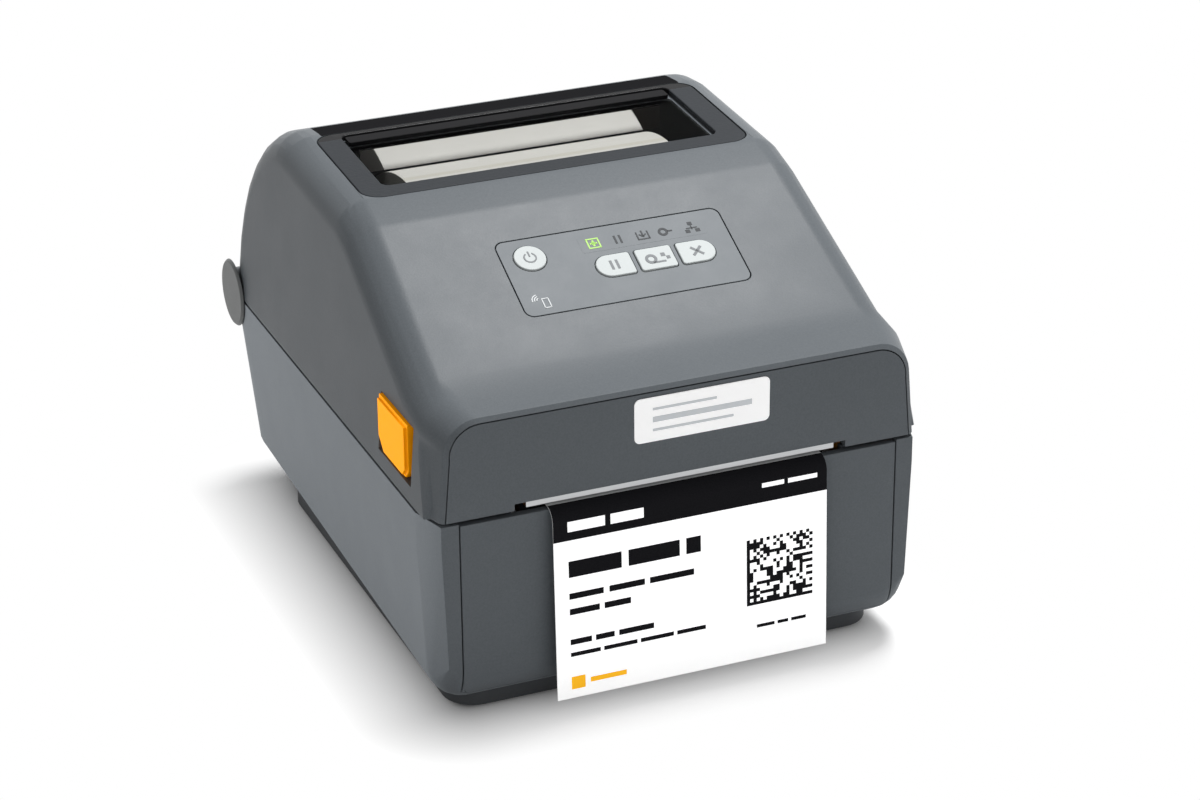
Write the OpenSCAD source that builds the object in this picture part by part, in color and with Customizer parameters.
// Desktop label printer: a tub-shaped base with the print drive and the label bay,
// and a lid on rear hinges that carries the printhead, the keys and the window.
// Millimetres, +Z up, the front faces -Y, +X is to the right seen from the front.
// Places along the depth are written as distances behind the front face.

/* [Body] */
// Width of the housing at the parting line
body_w = 174.4; // [170:0.2:182]
// Depth of the housing from the front face to the rear edge
body_d = 221; // [216:0.5:230]
// Height of the lid's highest edge above the table
body_h = 150.4; // [147:0.2:158]
// Height of the lid above the parting line
lid_h = 75.2; // [73:0.1:77]
// Open gap along the parting line
parting_gap = 1; // [0.6:0.1:1.4]
// Wall thickness of base and lid
wall = 2.4; // [2:0.1:2.8]
// Width of the flat facet on each front corner
facet_w = 3.8; // [3:0.1:5]
// Depth of the flat facet on each front corner
facet_d = 13.8; // [11:0.2:16]
// Seam around inlaid panels
seam = 0.4; // [0.2:0.05:0.5]

/* [Base] */
// Underside of the tub above the table
floor_z = 8; // [7:0.5:9]
// Rounding of the tub's lower edges
base_edge_r = 12; // [10:0.5:13]
// Rounding of the tub's rear upright corners
base_corner_r = 24; // [20:0.5:26]
// How far the rear wall leans forward at the bottom
rear_lean = 17; // [12:0.5:20]
// How far each side wall leans inward at the bottom
side_lean = 1.4; // [0.5:0.1:2]
// Drop of the rear wall's top edge below the parting line, under the lid's rear skirt
rear_edge_drop = 9.4; // [8.2:0.1:11.2]
// Inset of the front bezel's seams from the sides
bezel_inset = 9.8; // [8.2:0.2:12.2]
// Thickness of the front bezel
bezel_t = 3; // [2.6:0.1:3.2]
// Recess of the plinth behind the front face
plinth_recess = 10.7; // [9:0.1:13]
// Inset of the plinth from the sides
plinth_inset = 10.2; // [7.2:0.5:13.2]
// Rounding of the plinth's corners
plinth_r = 11; // [8:0.5:14]
// Thickness of the plinth's bottom
plinth_t = 2.4; // [2:0.1:3]
// Height of the rubber feet below the plinth
foot_h = 1.6; // [1.2:0.1:2]
// Radius of the rubber feet
foot_r = 8; // [6:0.5:9]

/* [Lid] */
// Pitch of the lid's sides, from upright
side_draft = 4.7; // [4:0.1:5.5]
// Rounding along the lid's upper edges
edge_r = 12; // [10:0.5:13]
// Distance of the lower crease behind the front
crease_low_d = 24.7; // [23:0.1:27]
// Distance of the upper crease behind the front
crease_high_d = 86.4; // [84:0.2:88]
// Distance of the window frame's front edge behind the front
frame_front_d = 99.8; // [98:0.2:102]
// Distance of the window frame's rear edge behind the front
frame_rear_d = 157.5; // [155:0.5:160]
// Pitch of the slope that carries the keys
slope_deg = 25.1; // [24:0.1:26]
// Pitch of the narrow band behind the slope
band_deg = 17; // [15:0.5:19]
// Pitch of the window frame
top_deg = 2.7; // [2:0.1:3.5]
// Pitch of the band above the front panel
nose_deg = 9.6; // [8:0.2:11]
// Inset of the lid's rear face from the rear edge
lid_rear_inset = 9; // [8.5:0.1:10.5]
// Thickness of the inlaid front panel
panel_t = 2.2; // [1.8:0.1:2.6]
// Edge left around the front panel
panel_margin = 1.3; // [1:0.1:1.6]
// Half width of the label slot
slot_half = 58.4; // [57:0.2:60]

/* [Window] */
// Inset of the window frame from the sides
frame_inset = 16.2; // [15.2:0.2:17.2]
// Side bars of the window frame
frame_side = 9.4; // [8:0.2:12]
// Front bar of the window frame
frame_bar = 9.3; // [8:0.1:10]
// Rear bar of the window frame
frame_rear_bar = 3.2; // [2.5:0.1:4]
// Corner rounding of the window frame
frame_r = 7; // [5:0.5:9]
// Thickness of the window frame
frame_t = 2; // [1.6:0.1:2.2]
// Thickness of the window pane
pane_t = 1.6; // [1.2:0.1:2]
// Distance of the opening under the window from the frame's front and rear edges
pane_inset = 8; // [7:0.5:8.5]

/* [Keys] */
// Width of the control panel
keypad_w = 80.4; // [78:0.2:83]
// Length of the control panel along the slope
keypad_l = 33.4; // [31:0.2:35]
// Sideways offset of the control panel
keypad_x = 3.6; // [2:0.1:5]
// Distance of the control panel below the upper crease
keypad_s = 15.9; // [14:0.1:18]
// Thickness of the control panel
keypad_t = 1.6; // [1.2:0.1:2]
// Radius of the power button
power_r = 5.5; // [5:0.1:6]
// Height of the other buttons along the slope
button_l = 9.6; // [9:0.1:10.4]
// Width of each of the other buttons
button_w = 13; // [12:0.1:13.2]
// Spacing of the other buttons
button_pitch = 14.9; // [14.7:0.1:15.4]
// Height of the buttons above the panel
button_rise = 0.5; // [0.3:0.1:0.8]
// Travel of the buttons
button_travel = 0.8; // [0.5:0.1:0.8]
// Running clearance of the buttons
button_gap = 0.3; // [0.2:0.05:0.35]

/* [Hinge and latches] */
// Distance of the hinge axis from the rear edge
hinge_inset = 14; // [13:0.1:15]
// Radius of the round hinge caps
cap_r = 12.4; // [12:0.1:13]
// Height of the hinge caps above the housing's side
cap_rise = 1.3; // [1:0.1:2]
// Radius of the hinge pins
hinge_pin_r = 2.5; // [2:0.1:3]
// Running clearance of turning pins
run_gap = 0.05; // [0.02:0.01:0.08]
// Length of a latch along the side
latch_l = 27; // [26:0.5:30]
// Height of a latch
latch_h = 19.6; // [19:0.2:23]
// Distance of a latch behind the front
latch_d = 22; // [20:0.5:23]
// Lowest edge of a latch above the parting line
latch_lift = 6; // [5:0.2:8]
// Height of a latch above the lid's side
latch_rise = 1.2; // [1:0.1:2.3]
// Travel of a latch
latch_travel = 3; // [2:0.1:3.5]

/* [Print drive] */
// Radius of the platen roller
platen_r = 6.4; // [6:0.1:6.6]
// Half length of the platen roller
platen_half = 54; // [52:0.5:56]
// Radius of the platen shaft
platen_shaft_r = 3; // [2.5:0.1:3.4]
// Distance of the platen axis behind the front
platen_d = 13; // [12.6:0.1:13.6]
// Gear module
gear_m = 0.8; // [0.78:0.01:0.82]
// Teeth on the platen gear
platen_teeth = 14; // [14:1:14]
// Teeth on the idler gear
idler_teeth = 30; // [28:1:32]
// Teeth on the motor pinion
pinion_teeth = 12; // [11:1:13]
// Width of the gears
gear_w = 5; // [4:0.5:5.5]
// Side length of the stepper motor
motor_side = 35; // [33:0.5:36]
// Thickness of the stepper motor
motor_t = 22; // [18:0.5:24]
// Distance of the motor axis behind the front
motor_d = 38; // [37.6:0.1:38.4]
// Drop of the motor axis below the platen axis
motor_drop = 22.3; // [21.9:0.1:22.7]

/* [Media] */
// Width of the label strip
label_w = 97; // [90:0.5:98]
// Sideways offset of the labels
media_x = 1.5; // [-1:0.1:2]
// Thickness of the label strip
label_t = 0.3; // [0.2:0.05:0.3]
// How far the hanging label reaches in front of the housing
label_reach = 6; // [5:0.2:9]
// Height of the label's free end above the table
label_end_z = 7.3; // [5:0.2:10]
// Space between the roll and the lid's highest edge
roll_headroom = 9.6; // [9:0.2:38]
// Height of the trough's lowest point above the table
bay_z = 24; // [23.5:0.5:34]
// Outer radius of the roll's core
core_r = 16; // [15:0.2:17]
// Wall of the roll's core
core_t = 2.8; // [2:0.1:3.2]
// Distance of the roll axis behind the middle between the drive plate and the ports
roll_shift = 0.5; // [-0.5:0.1:1.5]
// Space between the roll and its trough
trough_gap = 8; // [7:0.5:8.5]
// Gap between the roll and the rim that hangs from the rear edge of the pane
lip_gap = 0.6; // [0.5:0.1:3]
// Travel of each roll holder
holder_travel = 8; // [6:0.5:9]
// Travel of the media sensor to each side
sensor_travel = 34; // [20:1:36]

/* [Hidden] */
$fn = 64;
BALL_FN = 32;
CAVITY_FN = 20;
eps = 0.01;
skin = 0.3;          // gap between pieces of different bodies
touch = 1;           // how far a fused post reaches into the wall above it
half_w = body_w / 2;
parting_z = body_h - lid_h;
hinge_d = body_d - hinge_inset;
lid_rear_d = body_d - lid_rear_inset;
frame_half = half_w - frame_inset;
window_half = frame_half - frame_side;
front_y = (label_reach - body_d) / 2;
lid_z = parting_z + parting_gap;
draft = tan(side_draft);

// Heights of the lid's creases, worked out forward from its highest edge
frame_rear_z = body_h;
frame_front_z = frame_rear_z - (frame_rear_d - frame_front_d) * tan(top_deg);
crease_high_z = frame_front_z - (frame_front_d - crease_high_d) * tan(band_deg);
crease_low_z = crease_high_z - (crease_high_d - crease_low_d) * tan(slope_deg);
nose_z = crease_low_z - crease_low_d * tan(nose_deg);
frame_l = (frame_rear_d - frame_front_d) / cos(top_deg);

// Lid walls
lid_front_wall = panel_t + wall;
lid_wall = 3;
nose_ease = 1.2;
lid_corner_r = 11;
rear_steps = 8;
rear_start_z = lid_z + 10;

// Base
bezel_half = half_w - bezel_inset;
plinth_half = half_w - plinth_inset;
rear_edge_z = parting_z - rear_edge_drop;
bottom_in_z = floor_z + wall;
base_low_z = floor_z + base_edge_r + 4;
rear_tuck = 4;
lip_x = half_w - lid_wall - 0.5;
lip_t = 1.6;
lip_h = 1.5;
lip_d0 = latch_d + latch_l + 8;
lip_d1 = hinge_d - 17;
bezel_gap = seam;
front_in_d = bezel_t + bezel_gap + wall;
platen_z = parting_z - skin - platen_r - 0.2;
strip_z = platen_z + platen_r + skin;
strip_top_z = strip_z + label_t;
plinth_z = foot_h;
foot_sink = 0.8;
plinth_rear_d = body_d - rear_lean - base_edge_r - 8;
io_d = plinth_rear_d + 13;
foot_x = plinth_half - foot_r - 6;
foot_ds = [plinth_recess + foot_r + 8, plinth_rear_d - foot_r - 8];
screw_r = 1.5;
screw_head_r = 3;
boss_r = 3.6;
plinth_boss_r = 6.2;
base_screw_x = plinth_half - 8;
screw_head_h = 2;
screw_sink = 3;

// Hinge
hinge_x0 = half_w - 13.2;
hinge_x1 = half_w - 7.2;
hub_x0 = hinge_x1 + 0.4;
hub_r = 9;
hub_gap = 0.4;
cap_gap = 0.15;
lug_r = 5.8;
lug_z = parting_z - 23.2;
skirt_half = hinge_x0 - 0.6;
skirt_z = rear_edge_z + 0.8;
cap_x = half_w + cap_rise;
spigot_r = 4;
spigot_l = 3;

// Label bay
roll_top_z = body_h - roll_headroom;
roll_r = (roll_top_z - bay_z - trough_gap) / 2;
roll_z = roll_top_z - roll_r;
trough_r = roll_r + trough_gap;
tray_t = 2;
deck_z = strip_z - 0.4;
deck_t = 2.6;
deck_front_d = platen_d + platen_r + 2;
bay_side = 12.2;
tray_half = half_w - bay_side;
leg_x = tray_half - 6;
leg_t = 6;
leg_l = 10;
leg_gap = 24;
deck_half = tray_half - 13;
roll_half = label_w / 2 + 0.5;
rack_z = roll_z - trough_r - 1;
rack_t = 2.5;
rack_m = 1;
rack_teeth = 12;
rack_pitch_r = rack_m * rack_teeth / 2;
rack_w = 4;
holder_t = 4;
holder_r = 30;
hub_l = holder_travel;
sensor_d = 30;
sensor_w = 7.4;
sensor_l = 9;

// Drive train: plates, gears and their places
gear_space = 17.2;
plate_x = half_w - gear_space;
plate_t = 1.5;
plate_front_d = 7;
plate_toe_d = 18;
plate_step_d = 24;
plate_rear_z = deck_z - 12.6;
drive_rear_d = 58;
platen_rear_d = 40;
flange_w = 12;
flange_gap = 2;
gear_x = plate_x + 1.2;
bush_r = 5;
bush_flange_r = 6.6;
idler_pin_r = 1.6;
motor_shaft_r = 2;
roll_d = (drive_rear_d + io_d) / 2 + roll_shift;
// Rim of the pane: rear face along the lid's top, depth of its front face, half width and lower edge
lip_y = frame_l - pane_inset - seam;
lip_d = frame_front_d + (lip_y - pane_t) * cos(top_deg);
lip_half = window_half - 5;
lip_z = roll_z + sqrt(max(0, pow(roll_r, 2) - pow(lip_d - roll_d, 2))) + lip_gap;
lip_low = (lip_z - frame_front_z - lip_y * sin(top_deg)) / cos(top_deg);
base_screw_ds = [plinth_recess + 56, roll_d + leg_gap / 2];
platen_p = [platen_d, platen_z];
motor_z = platen_z - motor_drop;
motor_p = [motor_d, motor_z];
function pitch_r(teeth) = gear_m * teeth / 2;
center_a = pitch_r(platen_teeth) + pitch_r(idler_teeth);
center_b = pitch_r(pinion_teeth) + pitch_r(idler_teeth);
train_l = norm(motor_p - platen_p);
train_u = (motor_p - platen_p) / train_l;
train_s = (center_a * center_a - center_b * center_b + train_l * train_l) / (2 * train_l);
train_h = sqrt(max(center_a * center_a - train_s * train_s, 0));
idler_p = platen_p + train_s * train_u + train_h * [train_u[1], -train_u[0]];
function bearing(from, to) = atan2(to[1] - from[1], to[0] - from[0]);
dir_pi = bearing(platen_p, idler_p);
dir_im = bearing(idler_p, motor_p);
idler_phase = dir_pi + 180 + platen_teeth / idler_teeth * dir_pi + 180 / idler_teeth;
pinion_phase = dir_im + 180 - idler_teeth / pinion_teeth * (idler_phase - dir_im) + 180 / pinion_teeth;

// Printhead
head_d0 = 8;
head_d1 = 20;
head_half = platen_half + 2;
head_z = strip_top_z + skin;
head_h = 5.4;
head_travel = 1;
bracket_z = head_z + head_h + 3.2;
bracket_t = 1.6;
bracket_half = plate_x + 1;
bracket_screw_x = bracket_half - 4;
bracket_screw_d = head_d1 - 5;
bracket_head_h = 1.8;
post_r = 4;
post_bite = 10;

// Latch
latch_z = lid_z + latch_lift;
latch_gap = 0.4;
latch_cut = 5;
latch_plate_x = half_w - 7.6;
latch_plate_t = 3.4;
latch_x = half_w - (latch_z + latch_h / 2 - parting_z) * draft + latch_rise;
hook_z = parting_z - 14;
hook_d0 = latch_d + 5;
hook_d1 = latch_d + latch_l - 3;
spring_x = latch_plate_x + 1.4;
spring_z = latch_z + latch_h / 2;
spring_l = 12;
spring_turns = 6;
spring_r = 1.1;
spring_wire_r = 0.3;
spring_rings = 8;
spring_sides = 6;

// Keypad
ring_t = 1.6;
ring_z = -4.9;
board_t = 1.6;
flange = 1.2;
flange_t = 1.2;
button_mid_s = 33.7;
button_mid_x = 14.8;
power_x = -26.9;
power_s = 24.7;
light_s = 22.7;
light_side = 4.2;
light_xs = [-3.5, 5.3, 14.3, 22.4, 32];
dome_r = 3;

// Rear ports
io_half = 46;
io_z0 = 15.5;
io_z1 = 47;
io_t = 1.6;
board_z = 12.6;
pcb_t = 1.6;
board_half = deck_half;
board_front_d = io_d - 105;
jack_x = 30;
usb_x = 4;
net_x = -26;

SLATE = "#5b6064";
SLATE_DARK = "#43474a";
BLACK = "#1d1e20";
STEEL = "#b9bcbe";
WHITE = "#f1f1ee";
AMBER = "#fba806";
BOARD = "#2c6b3f";

// Place of a point behind the front face
function yd(d) = front_y + d;

// Half width of the lid's side at a height
function lid_half(z) = half_w - max(z - parting_z, 0) * draft;

// Point on a circle
function polar(c, r, a) = [c[0] + r * cos(a), c[1] + r * sin(a)];

// Arc of points
function arc(c, r, a0, a1, n = 8) = [for (i = [0:n]) polar(c, r, a0 + (a1 - a0) * i / n)];

// Mirror a list of points over the depth axis, in reverse order
function mirrored(pts) = [for (i = [len(pts) - 1:-1:0]) [-pts[i][0], pts[i][1]]];

// Outline of the base seen from above, drawn in by an inset
function base_plan(hw, d0, d1, r) = let (
    right = concat(
        [[hw - facet_w, yd(d0)], [hw, yd(d0 + facet_d)]],
        arc([hw - r, yd(d1 - r)], r, 0, 90)
    )
) concat(right, mirrored(right));

// Outline of the lid's main body seen from above
function lid_plan(hw, d0, d1, r) = let (
    right = concat([[hw, yd(d0)]], arc([hw - r, yd(d1 - r)], r, 0, 90))
) concat(right, mirrored(right));

// Arch outline of the lid's front, with drafted sides and round upper corners
function arch(hw, z0, z1, r) = let (
    c = [hw - (z1 - r - z0) * draft - r, z1 - r],
    right = concat([[hw, z0]], arc(c, r, -side_draft, 90, 10))
) concat(right, mirrored(right));

// Rectangle with rounded corners about the origin
function rounded(w, l, r) = let (x = w / 2 - r, y = l / 2 - r) concat(
    arc([x, y], r, 0, 90), arc([-x, y], r, 90, 180),
    arc([-x, -y], r, 180, 270), arc([x, -y], r, 270, 360)
);

// Gear outline with straight flanks, first tooth along the first axis
function gear_points(m, teeth, phase) = let (
    rp = m * teeth / 2,
    add = 0.75 * m,
    ded = 1.15 * m,
    half = m * 180 / PI * (PI / 4 - 0.16) / rp,
    slant = 180 / PI * tan(20) / rp
) [for (i = [0:teeth - 1], k = [0:3])
    let (r = (k == 0 || k == 3) ? rp - ded : rp + add, side = k < 2 ? -1 : 1)
    polar([0, 0], r, phase + 360 / teeth * i + side * (half - (r - rp) * slant))
];

// Solid between two sideways places from an outline in depth and height
module prism_x(x0, x1) {
    translate([x0, 0, 0]) rotate([90, 0, 90]) linear_extrude(x1 - x0) children();
}

// Round bar along the sideways axis
module rod_x(x0, x1, d, z, r) {
    translate([x0, yd(d), z]) rotate([0, 90, 0]) cylinder(h = x1 - x0, r = r);
}

// Box given by its limits
module block(x0, x1, d0, d1, z0, z1) {
    translate([x0, yd(d0), z0]) cube([x1 - x0, d1 - d0, z1 - z0]);
}

// The child and its mirror image
module both() {
    children();
    mirror([1, 0, 0]) children();
}

// Frames lying on the key slope and on the window band, third axis outward
module on_slope() {
    translate([0, yd(crease_high_d), crease_high_z]) rotate([slope_deg, 0, 0]) children();
}
module on_top() {
    translate([0, yd(frame_front_d), frame_front_z]) rotate([top_deg, 0, 0]) children();
}

// Plate with rounded corners, top face at the local height z1
module plate(w, l, r, z0, z1) {
    translate([0, 0, z0]) linear_extrude(z1 - z0) polygon(rounded(w, l, r));
}

// Toothed wheel across the drive side
module wheel(teeth, phase, p, x0, x1, bore_r) {
    difference() {
        translate([0, yd(p[0]), p[1]]) prism_x(x0, x1) polygon(gear_points(gear_m, teeth, phase));
        rod_x(x0 - 1, x1 + 1, p[0], p[1], bore_r);
    }
}

// Outer form of the base
module base_outer() {
    hull() {
        translate([0, 0, rear_edge_z])
            linear_extrude(parting_z - rear_edge_z)
                polygon(base_plan(half_w, 0, body_d, base_corner_r));
        translate([0, 0, base_low_z])
            linear_extrude(eps)
                polygon(base_plan(half_w - side_lean, 0, base_rear(base_low_z), base_corner_r));
        both() for (p = [
            [half_w - side_lean - base_edge_r, base_edge_r],
            [half_w - side_lean - base_edge_r - rear_tuck, base_rear(floor_z) - base_edge_r]
        ]) translate([p[0], yd(p[1]), floor_z + base_edge_r]) sphere(base_edge_r, $fn = BALL_FN);
    }
}

// Rear wall's place at a height
function base_rear(z) = body_d - rear_lean * (rear_edge_z - z) / (rear_edge_z - floor_z);

// Hollow of the base
module base_hollow() {
    in_r = base_corner_r - wall;
    tuck = base_edge_r * 0.8;
    hull() {
        translate([0, 0, rear_edge_z])
            linear_extrude(parting_z - rear_edge_z + 1)
                polygon(base_plan(half_w - wall, front_in_d, lid_rear_d + 0.8, in_r - wall));
        translate([0, 0, base_low_z])
            linear_extrude(eps)
                polygon(base_plan(half_w - side_lean - wall, front_in_d,
                                  base_rear(base_low_z) - wall, in_r));
        translate([0, 0, bottom_in_z])
            linear_extrude(eps)
                polygon(base_plan(half_w - side_lean - wall - tuck, front_in_d + tuck,
                                  base_rear(floor_z) - wall - tuck, in_r - tuck));
    }
}

// Lower tub with its hinge lugs, bosses and port recess
module base_tub() {
    color(SLATE) difference() {
        union() {
            difference() {
                base_outer();
                base_hollow();
                block(-body_w, body_w, hinge_d - 0.5, body_d + 1, rear_edge_z, body_h);
            }
            intersection() {
                base_outer();
                block(-io_half - wall, io_half + wall, io_d - wall, body_d, floor_z, io_z1 + wall);
            }
            both() {
                rod_x(hinge_x0, hinge_x1, hinge_d, parting_z, lug_r);
                block(hinge_x0, hinge_x1, hinge_d - lug_r, hinge_d + 2.5, lug_z, parting_z);
                block(hinge_x0, half_w - wall - 0.8, hinge_d - 2 * lug_r, hinge_d - 4, lug_z,
                      parting_z - cap_r - 1.5);
                block(latch_plate_x - 1, half_w - wall + 0.5, hook_d1 + 0.6, hook_d1 + 9,
                      hook_z + 2, hook_z + 8);
                block(lip_x - lip_t, half_w - wall + 0.5, lip_d0, lip_d1,
                      parting_z - 2 * lip_h, parting_z - lip_h);
                block(lip_x - lip_t, lip_x, lip_d0, lip_d1, parting_z - 2 * lip_h, lid_z + 1);
            }
            both() for (d = base_screw_ds)
                translate([base_screw_x, yd(d), bottom_in_z - touch]) cylinder(h = 8 + touch, r = boss_r);
        }
        block(-bezel_half, bezel_half, -1, bezel_t + bezel_gap, 0, body_h);
        block(-slot_half, slot_half, 0, front_in_d + 1, platen_z - platen_r - 3, body_h);
        both() {
            rod_x(hub_x0 - 0.2, half_w + 2, hinge_d, parting_z, hub_r + hub_gap);
            rod_x(hinge_x0 - 1, hinge_x1 + 1, hinge_d, parting_z, hinge_pin_r);
            for (d = base_screw_ds)
                translate([base_screw_x, yd(d), 0]) cylinder(h = bottom_in_z + 7, r = screw_r);
        }
        block(-io_half, io_half, io_d, body_d + 1, io_z0, io_z1);
        block(-io_half + 3, io_half - 3, io_d - wall - 1, io_d + 1, io_z0 + 2.4, io_z1 - 3);
    }
}

// Front skin between the two upright seams
module front_bezel() {
    color(SLATE) intersection() {
        base_outer();
        block(-bezel_half + seam, bezel_half - seam, -1, bezel_t, 0, parting_z - 0.7);
    }
}

// Recessed plinth that closes the base from below
module base_plate() {
    length = plinth_rear_d - plinth_recess;
    mid_d = (plinth_rear_d + plinth_recess) / 2;
    color(SLATE_DARK) difference() {
        union() {
            difference() {
                translate([0, yd(mid_d), 0]) plate(2 * plinth_half, length, plinth_r, plinth_z, floor_z);
                translate([0, yd(mid_d), 0])
                    plate(2 * (plinth_half - wall), length - 2 * wall, plinth_r - wall,
                          plinth_z + plinth_t, floor_z + 1);
            }
            for (s = [-1, 1], d = base_screw_ds)
                translate([s * base_screw_x, yd(d), plinth_z])
                    cylinder(h = floor_z - plinth_z, r = plinth_boss_r);
        }
        for (s = [-1, 1], d = foot_ds)
            translate([s * foot_x, yd(d), plinth_z - 1]) cylinder(h = 1 + foot_sink, r = foot_r);
        for (s = [-1, 1], d = base_screw_ds)
            translate([s * base_screw_x, yd(d), 0]) {
                cylinder(h = floor_z + 1, r = screw_r + 0.2);
                cylinder(h = plinth_z + screw_sink, r = screw_head_r + 0.3);
            }
    }
}

// Four round feet
module rubber_feet() {
    color(BLACK) for (s = [-1, 1], d = foot_ds)
        translate([s * foot_x, yd(d), 0]) cylinder(h = foot_h + foot_sink, r = foot_r);
}

// Screws that hold the plinth from below
module base_screws() {
    color(STEEL) for (s = [-1, 1], d = base_screw_ds)
        translate([s * base_screw_x, yd(d), plinth_z + screw_sink]) {
            translate([0, 0, -screw_head_h]) difference() {
                cylinder(h = screw_head_h, r = screw_head_r);
                translate([0, 0, -1]) cylinder(h = 2, r = 1.4, $fn = 6);
            }
            cylinder(h = floor_z - plinth_z - screw_sink + 7, r = screw_r);
        }
}

// Trough for the roll, with the flat deck that leads the labels to the platen
module media_tray() {
    color(SLATE_DARK) difference() {
        union() {
            rod_x(-tray_half, tray_half, roll_d, roll_z, trough_r + tray_t);
            block(-deck_half, deck_half, deck_front_d, roll_d - trough_r * 0.9, deck_z - deck_t, deck_z);
            block(-tray_half, tray_half, roll_d - 21, roll_d + 21, rack_z - tray_t, roll_z - trough_r + 6);
            for (s = [-1, 1], d = [roll_d - leg_gap - leg_l, roll_d + leg_gap])
                block(s * leg_x - leg_t / 2, s * leg_x + leg_t / 2, d, d + leg_l, bottom_in_z, roll_z - 30);
        }
        rod_x(-tray_half + tray_t, tray_half - tray_t, roll_d, roll_z, trough_r);
        block(-tray_half + tray_t, tray_half - tray_t, roll_d - 19, roll_d + 19, rack_z, roll_z);
        block(-half_w, half_w, 0, body_d, deck_z, body_h + 20);
        block(-sensor_travel - sensor_l, sensor_travel + sensor_l, sensor_d - sensor_w / 2 - skin,
              sensor_d + sensor_w / 2 + skin, 0, body_h);
        block(-sensor_travel - sensor_l, sensor_travel + sensor_l, sensor_d - sensor_w / 2 - 2 - skin,
              sensor_d + sensor_w / 2 + 2 + skin, deck_z - 1.3, body_h);
    }
    color(SLATE_DARK) translate([media_x, yd(roll_d), rack_z - touch])
        cylinder(h = rack_t + touch, r = 2);
}

// Outline of an upright plate with its slot for the platen bush
module plate_outline(rear_d) {
    difference() {
        polygon([
            [yd(plate_front_d), base_low_z], [yd(plate_toe_d), bottom_in_z], [yd(rear_d), bottom_in_z],
            [yd(rear_d), plate_rear_z], [yd(plate_step_d), deck_z - 1], [yd(plate_front_d), deck_z - 1]
        ]);
        translate([yd(platen_d), platen_z]) circle(bush_r + run_gap);
        translate([yd(platen_d) - bush_r - run_gap, platen_z]) square([2 * (bush_r + run_gap), 20]);
    }
}

// Left plate that carries the motor, the idler stud and the platen
module drive_plate() {
    color(STEEL) difference() {
        union() {
            prism_x(-plate_x, -plate_x + plate_t) plate_outline(drive_rear_d);
            block(-plate_x, -plate_x + flange_w, plate_toe_d, drive_rear_d - flange_gap, bottom_in_z,
                  bottom_in_z + plate_t);
            rod_x(-gear_x - gear_w - 0.6, -plate_x + eps, idler_p[0], idler_p[1], idler_pin_r);
        }
        rod_x(-plate_x - 1, -plate_x + plate_t + 1, motor_d, motor_z, motor_shaft_r + 0.6);
    }
}

// Right plate that carries the platen
module platen_plate() {
    color(STEEL) {
        prism_x(plate_x - plate_t, plate_x) plate_outline(platen_rear_d);
        block(plate_x - flange_w, plate_x, plate_toe_d, platen_rear_d - flange_gap, bottom_in_z,
              bottom_in_z + plate_t);
    }
}

// Motor can with its front boss
module stepper_motor() {
    inner = -plate_x + plate_t;
    color(BLACK) difference() {
        translate([inner, yd(motor_d), motor_z]) rotate([90, 0, 90])
            plate(motor_side, motor_side, 3, 0, motor_t);
        rod_x(inner - 1, inner + motor_t - 4, motor_d, motor_z, motor_shaft_r + run_gap);
    }
}

// Motor shaft with its pinion
module motor_pinion() {
    color("#c9a24a") {
        wheel(pinion_teeth, pinion_phase, motor_p, -gear_x - gear_w, -gear_x, motor_shaft_r - eps);
        rod_x(-gear_x - gear_w - 0.8, -plate_x + plate_t + motor_t - 5, motor_d, motor_z, motor_shaft_r);
    }
}

// Idler between pinion and platen gear
module idler_gear() {
    color(WHITE) wheel(idler_teeth, idler_phase, idler_p, -gear_x - gear_w, -gear_x,
                       idler_pin_r + run_gap);
}

// Gear on the platen shaft
module platen_gear() {
    color(WHITE) wheel(platen_teeth, 0, platen_p, -gear_x - gear_w, -gear_x, platen_shaft_r);
}

// Steel shaft of the platen
module platen_shaft() {
    color(STEEL) rod_x(-gear_x - gear_w - 1, plate_x + 3, platen_d, platen_z, platen_shaft_r);
}

// Rubber sleeve on the platen shaft
module platen_roller() {
    color(BLACK) difference() {
        rod_x(-platen_half, platen_half, platen_d, platen_z, platen_r);
        rod_x(-platen_half - 1, platen_half + 1, platen_d, platen_z, platen_shaft_r);
    }
}

// Bush with its release tab, drawn for the right side
module platen_bush() {
    difference() {
        union() {
            rod_x(plate_x - 6, plate_x + 0.6, platen_d, platen_z, bush_r);
            rod_x(plate_x - 6, plate_x - plate_t - 0.4, platen_d, platen_z, bush_flange_r);
            block(plate_x - 6, plate_x - plate_t - 0.4, platen_d + 2, platen_d + 11,
                  platen_z - 1.5, platen_z + 1.5);
        }
        rod_x(plate_x - 7, plate_x + 2, platen_d, platen_z, platen_shaft_r + run_gap);
    }
}
module platen_bush_left() {
    color(AMBER) mirror([1, 0, 0]) platen_bush();
}
module platen_bush_right() {
    color(AMBER) platen_bush();
}

// Circuit board on the floor of the tub
module main_board() {
    color(BOARD) block(-board_half, board_half, board_front_d, io_d - wall - 1, board_z, board_z + pcb_t);
    color(BOARD) for (s = [-1, 1], d = [board_front_d + 6, io_d - 14])
        translate([s * (board_half - 6), yd(d), bottom_in_z]) cylinder(h = board_z - bottom_in_z, r = 3);
}

// Chips and capacitors on the board
module board_components() {
    top = board_z + pcb_t;
    color(BLACK) {
        block(-16, 2, board_front_d + 12, board_front_d + 30, top, top + 2);
        block(14, 26, board_front_d + 16, board_front_d + 24, top, top + 1.6);
        block(-44, -30, board_front_d + 20, board_front_d + 30, top, top + 3);
        for (i = [0:2])
            translate([36 + 9 * i, yd(io_d - 34), top]) cylinder(h = 5, r = 3.6);
    }
}

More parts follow.
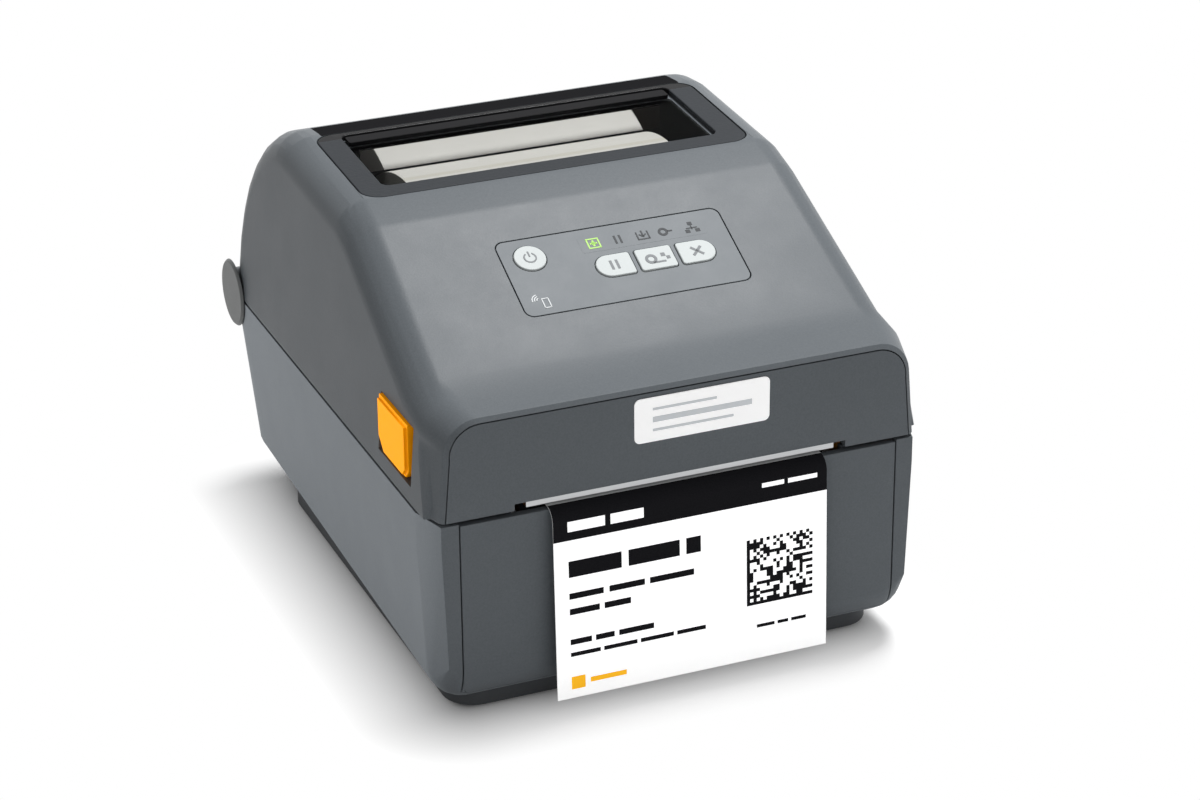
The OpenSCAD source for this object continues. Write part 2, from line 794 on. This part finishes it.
// Plate with the port openings, set into the rear recess
module rear_port_panel() {
    color(BLACK) difference() {
        block(-io_half + seam, io_half - seam, io_d, io_d + io_t, io_z0 + seam, io_z1 - seam);
        rod_y(jack_x, io_z0 + 10, 5.6);
        block(usb_x - 6.3, usb_x + 6.3, io_d - 1, io_d + io_t + 1, io_z0 + 4, io_z0 + 15.4);
        block(net_x - 8.2, net_x + 8.2, io_d - 1, io_d + io_t + 1, io_z0 + 3, io_z0 + 17);
    }
}

// Round hole through the port panel
module rod_y(x, z, r) {
    translate([x, yd(io_d - 20), z]) rotate([-90, 0, 0]) cylinder(h = 24 + io_t, r = r);
}

// Barrel socket for the supply
module power_jack() {
    color(BLACK) difference() {
        union() {
            translate([jack_x, yd(io_d - 12), io_z0 + 10]) rotate([-90, 0, 0]) cylinder(h = 12 + io_t, r = 5.4);
            block(jack_x - 5, jack_x + 5, io_d - 13, io_d - 3.5, board_z + pcb_t, io_z0 + 10);
        }
        translate([jack_x, yd(io_d - 8), io_z0 + 10]) rotate([-90, 0, 0]) cylinder(h = 12 + io_t, r = 3.2);
    }
    color(STEEL) translate([jack_x, yd(io_d - 9), io_z0 + 10]) rotate([-90, 0, 0])
        cylinder(h = 8, r = 1);
}

// Square data socket
module data_port() {
    color(STEEL) difference() {
        block(usb_x - 6, usb_x + 6, io_d - 14, io_d + io_t, io_z0 + 4.3, io_z0 + 15.1);
        block(usb_x - 4.4, usb_x + 4.4, io_d - 8, io_d + io_t + 1, io_z0 + 5.8, io_z0 + 13.6);
    }
    color(WHITE) block(usb_x - 2.8, usb_x + 2.8, io_d - 8.1, io_d, io_z0 + 8.2, io_z0 + 11.2);
    color(STEEL) block(usb_x - 5, usb_x + 5, io_d - 13, io_d - 4, board_z + pcb_t, io_z0 + 4.4);
}

// Network socket
module network_port() {
    color(STEEL) difference() {
        block(net_x - 7.9, net_x + 7.9, io_d - 15, io_d + io_t, io_z0 + 3.3, io_z0 + 16.7);
        block(net_x - 5.9, net_x + 5.9, io_d - 9, io_d + io_t + 1, io_z0 + 5.6, io_z0 + 14);
    }
    color(STEEL) block(net_x - 6, net_x + 6, io_d - 14, io_d - 4, board_z + pcb_t, io_z0 + 3.4);
}

// Steel pins that join lid and base
module hinge_pins() {
    color(STEEL) both() rod_x(hinge_x0 - 0.5, half_w - spigot_l - 1.4, hinge_d, parting_z, hinge_pin_r);
}

// Middle line of the label strip: from the roll, over the deck and platen, down the front
function strip_path() = let (
    mid = strip_z + label_t / 2,
    lift_d = 46,
    reach = roll_r + skin + label_t / 2,
    dx = roll_d - lift_d,
    dz = roll_z - mid,
    pitch = atan2(dz, dx) + asin(reach / norm([dx, dz])),
    bend_r = 10,
    bend_d = lift_d - bend_r * tan(pitch / 2),
    drop_r = 4.5,
    drop_d = 1,
    lean = atan2(label_reach - label_t / 2 - (drop_r - drop_d), mid - drop_r - label_end_z)
) concat(
    arc([roll_d, roll_z], reach, 90 + pitch - 24, 90 + pitch, 5),
    arc([bend_d, mid + bend_r], bend_r, -90 + pitch, -90, 5),
    arc([drop_d, mid - drop_r], drop_r, 90, 180 + lean * 0.4, 7),
    [[-label_reach + label_t / 2, label_end_z]]
);

// Unit normal at a point of a path
function path_normal(p, i) = let (
    a = p[max(i - 1, 0)],
    b = p[min(i + 1, len(p) - 1)],
    t = (b - a) / norm(b - a)
) [-t[1], t[0]];

// Label strip, one thin sheet
module label_strip() {
    p = strip_path();
    last = len(p) - 1;
    sides = [for (s = [1, -1]) [for (i = [0:last]) p[i] + s * label_t / 2 * path_normal(p, i)]];
    outline = concat(sides[0], [for (i = [last:-1:0]) sides[1][i]]);
    color(WHITE) prism_x(media_x - label_w / 2, media_x + label_w / 2)
        polygon([for (q = outline) [yd(max(q[0], -label_reach)), q[1]]]);
}

// Wound labels
module label_roll() {
    color(WHITE) difference() {
        rod_x(media_x - roll_half, media_x + roll_half, roll_d, roll_z, roll_r);
        rod_x(media_x - roll_half - 1, media_x + roll_half + 1, roll_d, roll_z, core_r);
    }
}

// Cardboard core of the roll
module roll_core() {
    color("#a98a62") difference() {
        rod_x(media_x - roll_half, media_x + roll_half, roll_d, roll_z, core_r);
        rod_x(media_x - roll_half - 1, media_x + roll_half + 1, roll_d, roll_z, core_r - core_t);
    }
}

// Teeth of a rack along the sideways axis, pitch line at zero, teeth towards +Y
module rack_outline(x0, n) {
    step = PI * rack_m;
    for (i = [0:n - 1]) polygon([
        [x0 + step * i - step * 0.33, -1.2], [x0 + step * i - step * 0.13, 0.7],
        [x0 + step * i + step * 0.13, 0.7], [x0 + step * i + step * 0.33, -1.2]
    ]);
}

// Right roll holder: hub, disc, arm and toothed slider on the far side of the pinion
module holder_form() {
    face = roll_half + 0.4;
    tooth_n = 9;
    difference() {
        union() {
            rod_x(face - hub_l, face + holder_t, roll_d, roll_z, core_r - core_t - skin);
            rod_x(face, face + holder_t, roll_d, roll_z, holder_r);
            block(face, face + holder_t, roll_d - 11, roll_d + 17, rack_z + skin, roll_z);
        }
        rod_x(face - hub_l - 1, face + holder_t + 1, roll_d, roll_z, 6);
    }
    translate([0, yd(roll_d) + rack_pitch_r, rack_z + skin]) linear_extrude(rack_t - skin) {
        mirror([0, 1]) rack_outline(-4 * PI * rack_m + PI * rack_m / 2, tooth_n);
        translate([-4.5 * PI * rack_m, 1.1]) square([4.5 * PI * rack_m + face + 1, rack_w]);
    }
}
module holder_right() {
    color(BLACK) translate([media_x, 0, 0]) holder_form();
}
module holder_left() {
    color(BLACK) translate([media_x, 2 * yd(roll_d), 0]) rotate([0, 0, 180]) holder_form();
}

// Pinion between the two racks
module holder_pinion() {
    color(WHITE) translate([media_x, yd(roll_d), rack_z + skin]) difference() {
        linear_extrude(rack_t - skin) polygon(gear_points(rack_m, rack_teeth, 90));
        translate([0, 0, -1]) cylinder(h = rack_t + 2, r = 2 + run_gap);
    }
}

// Sensor carriage in the deck's slot
module media_sensor() {
    color(BLACK) {
        block(-sensor_l / 2, sensor_l / 2, sensor_d - sensor_w / 2, sensor_d + sensor_w / 2,
              deck_z - 8, deck_z - 0.1);
        block(-sensor_l / 2, sensor_l / 2, sensor_d - sensor_w / 2 - 2, sensor_d + sensor_w / 2 + 2,
              deck_z - 1.2, deck_z - 0.1);
    }
}

// Points that the lid's rounded edges follow, as place behind the front and height
function lid_stations() = concat(
    [[crease_low_d - 15, crease_low_z - 15 * tan(slope_deg), slope_deg]],
    [[crease_high_d, crease_high_z, (slope_deg + band_deg) / 2]],
    [[frame_front_d, frame_front_z, (band_deg + top_deg) / 2]],
    [for (i = [0:rear_steps]) let (
        a = lid_rear_d - frame_rear_d,
        b = frame_rear_z - rear_start_z,
        t = 90 * i / rear_steps
    ) [frame_rear_d + a * sin(t), rear_start_z + b * cos(t), -atan2(sin(t) / a, cos(t) / b)]]
);

// Balls along both upper edges of the lid; r is the ball's radius
module lid_edges(r, fn) {
    both() for (s = lid_stations()) {
        d = s[0] + edge_r * sin(s[2]);
        z = s[1] - edge_r * cos(s[2]);
        translate([lid_half(z) - edge_r, yd(d), z]) sphere(r, $fn = fn);
    }
}

// Main form of the lid; draw is how far it is drawn in
module lid_main(draw, fn) {
    hull() {
        lid_edges(edge_r - draw, fn);
        translate([0, 0, skirt_z - (draw > 0 ? 1 : 0)])
            linear_extrude(parting_z - skirt_z)
                polygon(lid_plan(half_w - draw, 6 + draw, lid_rear_d - draw, lid_corner_r - draw));
    }
}

// One cross-section of the nose as a thin upright slice
module nose_slice(hw, d, z1, r, z0) {
    translate([0, yd(d), 0]) rotate([90, 0, 0]) linear_extrude(eps) polygon(arch(hw, z0, z1, r));
}

// Block above the label slot; draw is how far it is drawn in
module lid_nose(draw) {
    d0 = draw > 0 ? lid_front_wall : 0;
    back_d = crease_low_d + 12;
    ease = draw > 0 ? 0 : nose_ease;
    z0 = parting_z - (draw > 0 ? 1 : 0);
    hull() {
        nose_slice(half_w - facet_w - draw - ease, d0, nose_z - draw - ease, edge_r - draw - ease, z0);
        nose_slice(half_w - facet_w * (1 - ease / facet_d) - draw, d0 + ease,
                   nose_z + ease * tan(nose_deg) - draw, edge_r - draw, z0);
        nose_slice(half_w - draw, facet_d, nose_z + facet_d * tan(nose_deg) - draw, edge_r - draw, z0);
        nose_slice(half_w - draw, back_d, nose_z + back_d * tan(nose_deg) - draw, edge_r - draw, z0);
    }
}

// Local frame at the middle of the control panel
module at_keypad() {
    on_slope() translate([keypad_x, -keypad_s - keypad_l / 2, 0]) children();
}

// Lid shell with its pockets, posts, hubs and slots
module lid_shell() {
    color(SLATE) difference() {
        union() {
            difference() {
                union() {
                    lid_main(0, BALL_FN);
                    lid_nose(0);
                }
                lid_main(lid_wall, CAVITY_FN);
                lid_nose(lid_wall);
                block(-body_w, body_w, -10, hinge_d + 0.5, 0, lid_z);
                both() block(skirt_half, body_w, 0, body_d + 20, 0, lid_z);
            }
            both() {
                rod_x(hub_x0, half_w - 0.1, hinge_d, parting_z, hub_r);
                translate([bracket_screw_x, yd(bracket_screw_d), bracket_z + bracket_t])
                    cylinder(h = nose_z - bracket_z - bracket_t + touch, r = post_r);
                block(latch_plate_x - 2, lid_half(spring_z) - 1, hook_d0 - spring_l - 2 * skin - 2,
                      hook_d0 - spring_l - 2 * skin, spring_z - 4, spring_z + 4);
            }
            at_keypad() difference() {
                plate(keypad_w + 2, keypad_l + 2, 3, ring_z, -keypad_t - 0.4);
                plate(keypad_w - 2 * ring_t, keypad_l - 2 * ring_t, 2, ring_z - 1, 0);
            }
        }
        // pocket of the front panel and the label slot
        translate([0, yd(panel_t), 0]) rotate([90, 0, 0]) linear_extrude(panel_t + 5)
            polygon(arch(half_w - facet_w - panel_margin, lid_z - 1, nose_z - panel_margin,
                         edge_r - panel_margin));
        block(-slot_half, slot_half, -1, lid_front_wall + 1, 0, lid_z + 2.4);
        // window: pocket of the frame, rebate of the pane, opening
        on_top() translate([0, frame_l / 2, 0]) {
            plate(2 * frame_half, frame_l - 1, frame_r, -frame_t, 10);
            plate(2 * window_half - 2, frame_l - 2 * pane_inset, 3, -20, 10);
        }
        // control panel: pocket and opening
        at_keypad() {
            plate(keypad_w + 2 * seam, keypad_l + 2 * seam, 3 + seam, -keypad_t, 10);
            plate(keypad_w - 2 * ring_t, keypad_l - 2 * ring_t, 2, -20, 10);
        }
        both() {
            // latch window, hinge bore, cap spigot, room for the base's lug
            block(lid_half(lid_z) - 12, body_w, latch_d - latch_travel - latch_gap,
                  latch_d + latch_l + latch_gap, latch_z - latch_gap, latch_z + latch_h + latch_gap);
            rod_x(hub_x0 - 1, half_w - spigot_l - 1, hinge_d, parting_z, hinge_pin_r + run_gap);
            rod_x(half_w - spigot_l - 0.2, body_w, hinge_d, parting_z, spigot_r);
            rod_x(skirt_half, hub_x0, hinge_d, parting_z, lug_r + 0.8);
            translate([bracket_screw_x, yd(bracket_screw_d), 0])
                cylinder(h = bracket_z + bracket_t + post_bite, r = screw_r);
        }
    }
}

// Inlaid front panel with its arch-shaped seam
module lid_front_panel() {
    rim = panel_margin + seam;
    color(SLATE) difference() {
        translate([0, yd(panel_t), 0]) rotate([90, 0, 0]) linear_extrude(panel_t)
            polygon(arch(half_w - facet_w - rim, lid_z, nose_z - rim, edge_r - rim));
        block(-slot_half, slot_half, -1, lid_front_wall, 0, lid_z + 2.4);
    }
}

// Blank white plate on the front panel
module name_plate() {
    color(WHITE) translate([6.6, yd(0), nose_z - 11]) rotate([90, 0, 0]) plate(47.6, 15.6, 2, 0, 0.4);
}

// Inlaid frame around the window
module window_frame() {
    open_l = frame_l - frame_bar - frame_rear_bar;
    color(SLATE_DARK) on_top() difference() {
        translate([0, frame_l / 2, 0])
            plate(2 * frame_half - 2 * seam, frame_l - 1 - 2 * seam, frame_r - seam, -frame_t, 0);
        translate([0, frame_bar + open_l / 2, 0]) plate(2 * window_half, open_l, 3, -frame_t - 1, 1);
    }
}

// Clear pane under the frame, with a rim that hangs down along its rear edge
module window_pane() {
    color("#9fb2bd", 0.4) on_top() {
        translate([0, frame_l / 2, 0])
            plate(2 * window_half - 2 - 2 * seam, frame_l - 2 * pane_inset - 2 * seam, 3 - seam,
                -frame_t - pane_t, -frame_t);
        translate([-lip_half, lip_y - pane_t, lip_low]) cube([2 * lip_half, pane_t, -frame_t - eps - lip_low]);
    }
}

// Glossy strip along the rear edge of the window
module window_trim() {
    color(BLACK) on_top() translate([0, frame_l - frame_rear_bar - 3.4, 0])
        plate(2 * window_half - 3, 5.6, 1, -frame_t, -0.4);
}

// Outline of one of the three buttons; end is -1, 0 or 1 for the side with the round end
module button_outline(end, grow) {
    w = button_w + 2 * grow;
    l = button_l + 2 * grow;
    r = l / 2 - eps;
    small = 1 + grow;
    x = w / 2;
    y = l / 2;
    right = end > 0 ? r : small;
    left = end < 0 ? r : small;
    polygon(concat(
        arc([x - right, y - right], right, 0, 90), arc([left - x, y - left], left, 90, 180),
        arc([left - x, left - y], left, 180, 270), arc([x - right, right - y], right, 270, 360)
    ));
}

// Local frame at the middle of a button; i counts from the left
module at_button(i) {
    on_slope() translate([button_mid_x + (i - 1) * button_pitch, -button_mid_s, 0]) children();
}
module at_power() {
    on_slope() translate([power_x, -power_s, 0]) children();
}

// Control panel with openings for the keys and the lights
module control_panel() {
    color("#6b7074") difference() {
        at_keypad() plate(keypad_w, keypad_l, 3, -keypad_t, 0);
        for (i = [0:2])
            at_button(i) translate([0, 0, -5]) linear_extrude(10) button_outline(i - 1, button_gap);
        at_power() translate([0, 0, -5]) cylinder(h = 10, r = power_r + button_gap);
        on_slope() for (x = light_xs)
            translate([x - light_side / 2, -light_s - light_side / 2, -5]) cube([light_side, light_side, 10]);
    }
}

// Small board under the keys
module keypad_board() {
    color(BOARD) at_keypad() plate(keypad_w, keypad_l, 2, ring_z - board_t, ring_z);
}

// Rubber domes under the keys
module switch_domes() {
    height = -keypad_t - flange_t - button_travel - 0.1 - ring_z;
    color(WHITE) {
        for (i = [0:2]) at_button(i) translate([0, 0, ring_z]) cylinder(h = height, r = dome_r);
        at_power() translate([0, 0, ring_z]) cylinder(h = height, r = dome_r);
    }
}

// Light guides of the status symbols
module status_lights() {
    side = light_side - 0.2;
    color("#b9d98b") on_slope() for (x = light_xs)
        translate([x - side / 2, -light_s - side / 2, ring_z]) cube([side, side, -ring_z]);
}

// Keys, each with a flange that holds it under the panel
module button_power() {
    color(WHITE) at_power() {
        translate([0, 0, -keypad_t - eps]) cylinder(h = keypad_t + eps + button_rise, r = power_r);
        translate([0, 0, -keypad_t - flange_t]) cylinder(h = flange_t, r = power_r + flange);
    }
}
module slope_button(i) {
    color(WHITE) at_button(i) {
        translate([0, 0, -keypad_t - eps])
            linear_extrude(keypad_t + eps + button_rise) button_outline(i - 1, 0);
        translate([0, 0, -keypad_t - flange_t])
            linear_extrude(flange_t) button_outline(i - 1, button_gap + 0.4);
    }
}
module button_pause() {
    slope_button(0);
}
module button_feed() {
    slope_button(1);
}
module button_cancel() {
    slope_button(2);
}

// Heated print bar with ears that rest on the bracket
module printhead() {
    color("#8d9296") {
        block(-head_half, head_half, head_d0, head_d1, head_z, head_z + head_h);
        both() block(head_half - eps, head_half + 5, head_d0 + 3, head_d1 - 3, head_z + 2.4, head_z + head_h);
    }
}

// Steel channel that holds the printhead
module printhead_bracket() {
    color(STEEL) difference() {
        union() {
            block(-bracket_half, bracket_half, head_d0 - 1, head_d1 + 1, bracket_z, bracket_z + bracket_t);
            both() {
                block(head_half + 6, head_half + 7.6, head_d0 + 2, head_d1 - 2, head_z + 0.8, bracket_z + eps);
                block(head_half + 1, head_half + 7.6, head_d0 + 2, head_d1 - 2, head_z + 0.8, head_z + 2.4);
            }
        }
        both() translate([bracket_screw_x, yd(bracket_screw_d), 0]) cylinder(h = body_h, r = screw_r + 0.2);
    }
}

// Bowed blade that presses the printhead down
module leaf_spring() {
    t = 0.5;
    reach = 30;
    rise = bracket_z - head_z - head_h - 0.1;
    bow_r = (reach * reach + rise * rise) / (2 * rise);
    color(STEEL) intersection() {
        translate([0, yd(head_d0 + 3), head_z + head_h + 0.1 + bow_r]) rotate([-90, 0, 0]) difference() {
            cylinder(h = 6, r = bow_r, $fn = 200);
            translate([0, 0, -1]) cylinder(h = 8, r = bow_r - t, $fn = 200);
        }
        block(-reach, reach, 0, 40, head_z, bracket_z);
    }
}

// Toothed steel strip above the label
module tear_bar() {
    color(STEEL) block(-slot_half + 4, slot_half - 4, 0.6, lid_front_wall, lid_z + 0.2, lid_z + 2.4);
}

// Latch: coloured grip outside, sliding plate with its hook inside; drawn for the right side
module latch() {
    top_z = latch_z + latch_h;
    rear_d = latch_d + latch_l;
    ease = 1;
    prism_x(latch_plate_x + latch_plate_t - eps, latch_x - ease) polygon([
        [yd(latch_d), latch_z + latch_cut * 0.7], [yd(latch_d + latch_cut * 0.6), latch_z],
        [yd(rear_d - latch_cut), latch_z], [yd(rear_d), latch_z + latch_cut],
        [yd(rear_d), top_z], [yd(latch_d), top_z]
    ]);
    prism_x(latch_x - ease - eps, latch_x) polygon([
        [yd(latch_d + ease), latch_z + latch_cut * 0.7 + ease / 2],
        [yd(latch_d + latch_cut * 0.6 + ease / 2), latch_z + ease],
        [yd(rear_d - latch_cut - ease / 2), latch_z + ease],
        [yd(rear_d - ease), latch_z + latch_cut + ease / 2],
        [yd(rear_d - ease), top_z - ease], [yd(latch_d + ease), top_z - ease]
    ]);
    prism_x(latch_plate_x, latch_plate_x + latch_plate_t) polygon([
        [yd(hook_d0), top_z - 2], [yd(hook_d0), hook_z + 3], [yd(hook_d0 + 4), hook_z],
        [yd(hook_d1), hook_z], [yd(hook_d1), hook_z + 3], [yd(hook_d0 + 10), hook_z + 3],
        [yd(hook_d0 + 10), latch_z], [yd(hook_d1), latch_z + 2], [yd(hook_d1), top_z - 2]
    ]);
}
module latch_left() {
    color(AMBER) mirror([1, 0, 0]) latch();
}
module latch_right() {
    color(AMBER) latch();
}

// Points of the latch spring's wire, along the depth axis from the origin
function coil_point(t) = [
    spring_r * cos(360 * t * spring_turns),
    spring_wire_r + t * (spring_l - 2 * spring_wire_r),
    spring_r * sin(360 * t * spring_turns)
];
function coil_count() = spring_turns * spring_rings;

// Wire tube along the coil, closed at both ends
module coil() {
    n = coil_count();
    pitch = (spring_l - 2 * spring_wire_r) / spring_turns;
    rings = [for (i = [0:n]) let (
        c = coil_point(i / n),
        a = 360 * i / spring_rings,
        out = [cos(a), 0, sin(a)],
        run = [-sin(a) * 2 * PI * spring_r, pitch, cos(a) * 2 * PI * spring_r],
        side = cross(run, out) / norm(run)
    ) [for (k = [0:spring_sides - 1])
        c + spring_wire_r * (cos(360 * k / spring_sides) * out + sin(360 * k / spring_sides) * side)]];
    points = [for (r = rings, p = r) p];
    walls = [for (i = [0:n - 1], k = [0:spring_sides - 1], h = [0, 1]) let (
        a = i * spring_sides + k,
        b = i * spring_sides + (k + 1) % spring_sides,
        up = spring_sides
    ) h == 0 ? [a, b, b + up] : [a, b + up, a + up]];
    ends = [for (k = [1:spring_sides - 2], e = [0, 1]) let (base = n * spring_sides)
        e == 0 ? [0, k + 1, k] : [base, base + k, base + k + 1]];
    polyhedron(points = points, faces = concat(walls, ends), convexity = 8);
}

// Least gap between the turns of the latch spring
turn_points = [for (i = [0:4 * coil_count()]) coil_point(i / (4 * coil_count()))];
turn_skip = 2 * spring_rings;
turn_gap = min([for (i = [0:len(turn_points) - 1 - turn_skip], j = [i + turn_skip:len(turn_points) - 1])
    norm(turn_points[i] - turn_points[j])]) - 2 * spring_wire_r;
echo(latch_spring_least_gap = turn_gap);

// Return spring in front of a latch plate
module latch_spring() {
    translate([spring_x, yd(hook_d0 - spring_l - skin), spring_z]) coil();
}
module latch_spring_left() {
    color(STEEL) mirror([1, 0, 0]) latch_spring();
}
module latch_spring_right() {
    color(STEEL) latch_spring();
}

// Round cap over a hinge, with its spigot; drawn for the right side
module hinge_cap() {
    bevel = 0.8;
    rod_x(half_w + cap_gap, cap_x - bevel, hinge_d, parting_z, cap_r);
    translate([cap_x - bevel, yd(hinge_d), parting_z]) rotate([0, 90, 0])
        cylinder(h = bevel, r1 = cap_r, r2 = cap_r - bevel);
    rod_x(half_w - spigot_l, half_w + cap_gap + eps, hinge_d, parting_z, spigot_r - run_gap);
}
module hinge_cap_left() {
    color("#7d8083") mirror([1, 0, 0]) hinge_cap();
}
module hinge_cap_right() {
    color("#7d8083") hinge_cap();
}

// Screws that hold the printhead bracket
module lid_screws() {
    color(STEEL) both() translate([bracket_screw_x, yd(bracket_screw_d), bracket_z - bracket_head_h]) {
        cylinder(h = bracket_head_h, r = screw_head_r);
        cylinder(h = bracket_t + post_bite, r = screw_r);
    }
}

base_tub();
front_bezel();
base_plate();
rubber_feet();
base_screws();
media_tray();
drive_plate();
platen_plate();
stepper_motor();
main_board();
board_components();
rear_port_panel();
power_jack();
data_port();
network_port();
hinge_pins();
label_strip();
label_roll();
roll_core();
holder_left();
holder_right();
holder_pinion();
media_sensor();
platen_roller();
platen_shaft();
platen_gear();
idler_gear();
motor_pinion();
platen_bush_left();
platen_bush_right();
lid_shell();
lid_front_panel();
name_plate();
window_frame();
window_pane();
window_trim();
control_panel();
keypad_board();
switch_domes();
status_lights();
button_power();
button_pause();
button_feed();
button_cancel();
printhead();
printhead_bracket();
leaf_spring();
tear_bar();
latch_left();
latch_right();
latch_spring_left();
latch_spring_right();
hinge_cap_left();
hinge_cap_right();
lid_screws();
